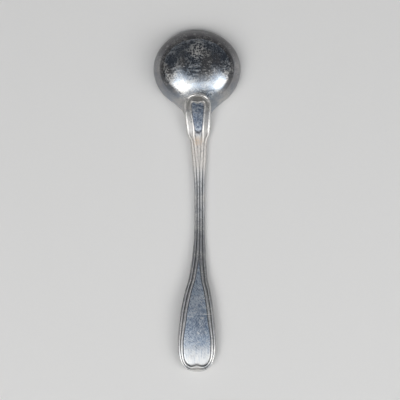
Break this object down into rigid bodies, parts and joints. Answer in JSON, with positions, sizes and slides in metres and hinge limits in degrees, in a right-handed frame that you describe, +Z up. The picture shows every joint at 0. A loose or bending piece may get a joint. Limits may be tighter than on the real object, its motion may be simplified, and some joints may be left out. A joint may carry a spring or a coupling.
{
  "type": "spoon",
  "caption": "Small silver spoon with a deep round bowl, a threaded drop on its back and a fiddle shaped handle edged with a double thread, lying face down.",
  "frame": {"origin": "centre of the spoon's footprint, at the height of the table that it lies on", "axes": "+Y along the spoon towards the lip of the bowl, +X across it, +Z up out of the back of the bowl; the hollow opens towards -Z"},
  "size_m": [0.027, 0.106, 0.0099],
  "materials": {
    "silver": "worn polished silver with fine scratches and light tarnish in the grooves"
  },
  "bodies": {
    "root": {"spoon": "silver"}
  },
  "joints": []
}
